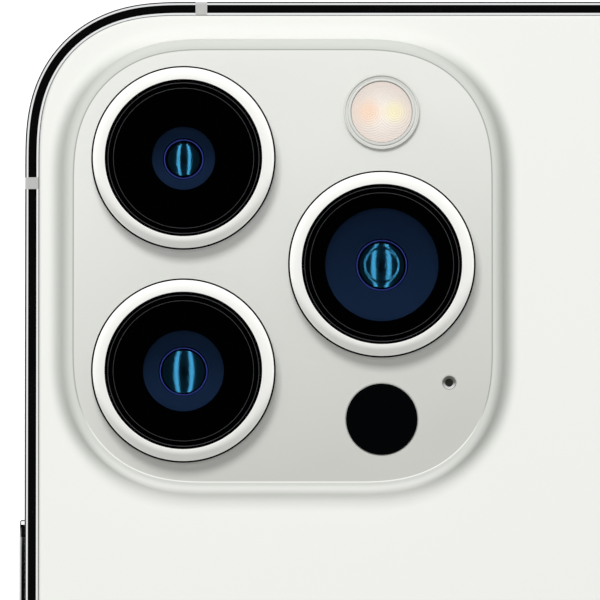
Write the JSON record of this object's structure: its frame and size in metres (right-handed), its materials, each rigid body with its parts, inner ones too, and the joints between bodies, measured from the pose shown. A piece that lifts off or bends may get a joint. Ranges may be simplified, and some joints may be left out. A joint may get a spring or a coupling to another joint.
{
  "type": "smartphone",
  "caption": "Slab smartphone with a polished steel band, white glass back and a raised camera plateau with ringed lenses, flash and range finder; keys, tray and lenses move.",
  "frame": {"origin": "middle of the display's face, which the phone lies on", "axes": "+X across the width towards the volume keys and card tray, +Y along the length towards the camera end, +Z through the thickness from the display to the back"},
  "size_m": [0.0724, 0.1466, 0.0113],
  "materials": {
    "polished_steel": "polished stainless steel, tumbled and buffed",
    "ring_steel": "satin stainless steel",
    "white_glass": "white-backed glass, frosted on the sheet and glossy on the plateau",
    "clear_glass": "glossy cover glass",
    "black_glass": "glossy black-backed glass",
    "display": "display laminate",
    "break_plastic": "moulded plastic",
    "black_plastic": "moulded black plastic",
    "seal_rubber": "adhesive foam seal",
    "lens_glass": "coated optical glass",
    "diffuser": "clear moulded plastic",
    "white_board": "ceramic board with light chips",
    "chassis_aluminium": "machined aluminium",
    "can_steel": "stamped and nickel-plated steel",
    "module": "moulded module",
    "pcb": "circuit board under metal shields",
    "cell": "foil pouch cell",
    "flex": "flat printed cable",
    "tungsten": "sintered tungsten",
    "coil_copper": "enamelled copper wire",
    "magnet": "nickel-plated magnet"
  },
  "bodies": {
    "phone": {"band_left": "polished_steel", "band_right": "polished_steel", "band_top_left": "polished_steel", "band_top": "polished_steel", "band_bottom": "polished_steel", "band_bottom_right": "polished_steel", "case_screws": "polished_steel", "antenna_breaks": "break_plastic", "mid_plate": "chassis_aluminium", "back_glass": "white_glass", "front_glass": "black_glass", "lidar_window": "black_glass", "display_panel": "display", "display_frame": "black_plastic", "rear_microphone": "black_plastic", "display_gasket": "seal_rubber", "tele_lens_ring": "ring_steel", "tele_lens_cover": "clear_glass", "tele_lens_mask": "black_plastic", "tele_camera_housing": "can_steel", "wide_lens_ring": "ring_steel", "wide_lens_cover": "clear_glass", "wide_lens_mask": "black_plastic", "wide_camera_housing": "can_steel", "ultrawide_lens_ring": "ring_steel", "ultrawide_lens_cover": "clear_glass", "ultrawide_lens_mask": "black_plastic", "ultrawide_camera_housing": "can_steel", "fixed_sensors": "module", "lidar_module": "module", "loudspeaker": "module", "earpiece_speaker": "module", "front_camera": "module", "camera_bracket": "can_steel", "haptic_case": "can_steel", "sim_reader": "can_steel", "charging_port": "can_steel", "key_switches": "can_steel", "flash_bezel": "diffuser", "flash_lens": "diffuser", "flash_board": "white_board", "battery": "cell", "logic_board": "pcb", "charging_coil": "coil_copper", "magnet_ring": "magnet", "flex_cables": "flex"},
    "side_button": {"side_button": "polished_steel"},
    "volume_up": {"volume_up_button": "polished_steel"},
    "volume_down": {"volume_down_button": "polished_steel"},
    "ring_switch": {"ring_switch_lever": "polished_steel"},
    "card_tray": {"sim_tray": "polished_steel"},
    "tele_lens": {"tele_lens_barrel": "black_plastic", "tele_front_lens": "lens_glass"},
    "wide_lens": {"wide_lens_barrel": "black_plastic", "wide_front_lens": "lens_glass"},
    "ultrawide_lens": {"ultrawide_lens_barrel": "black_plastic", "ultrawide_front_lens": "lens_glass"},
    "haptic_weight": {"haptic_mass": "tungsten"},
    "wide_shift_frame": {"wide_shift_carriage": "module"},
    "wide_sensor_board": {"wide_sensor": "module"}
  },
  "joints": [
    {"name": "side_button_press", "type": "slide", "parent": "phone", "child": "side_button", "axis": [1, 0, 0], "range_m": [0, 0.00025], "stiffness_N_per_m": 2000},
    {"name": "volume_up_press", "type": "slide", "parent": "phone", "child": "volume_up", "axis": [-1, 0, 0], "range_m": [0, 0.00025], "stiffness_N_per_m": 2000},
    {"name": "volume_down_press", "type": "slide", "parent": "phone", "child": "volume_down", "axis": [-1, 0, 0], "range_m": [0, 0.00025], "stiffness_N_per_m": 2000},
    {"name": "ring_switch_slide", "type": "slide", "parent": "phone", "child": "ring_switch", "axis": [0, 0, 1], "range_m": [0, 0.001]},
    {"name": "card_tray_slide", "type": "slide", "parent": "phone", "child": "card_tray", "axis": [1, 0, 0], "range_m": [0, 0.018]},
    {"name": "tele_focus", "type": "slide", "parent": "phone", "child": "tele_lens", "axis": [0, 0, 1], "range_m": [0, 0.00015], "stiffness_N_per_m": 100},
    {"name": "wide_focus", "type": "slide", "parent": "phone", "child": "wide_lens", "axis": [0, 0, 1], "range_m": [0, 0.0002], "stiffness_N_per_m": 100},
    {"name": "ultrawide_focus", "type": "slide", "parent": "phone", "child": "ultrawide_lens", "axis": [0, 0, 1], "range_m": [0, 0.00015], "stiffness_N_per_m": 100},
    {"name": "haptic_shuttle", "type": "slide", "parent": "phone", "child": "haptic_weight", "axis": [1, 0, 0], "range_m": [-0.0006, 0.0006], "stiffness_N_per_m": 500},
    {"name": "wide_shift_x", "type": "slide", "parent": "phone", "child": "wide_shift_frame", "axis": [1, 0, 0], "range_m": [-0.0001, 0.0001], "stiffness_N_per_m": 200},
    {"name": "wide_shift_y", "type": "slide", "parent": "wide_shift_frame", "child": "wide_sensor_board", "axis": [0, 1, 0], "range_m": [-0.0001, 0.0001], "stiffness_N_per_m": 200}
  ]
}
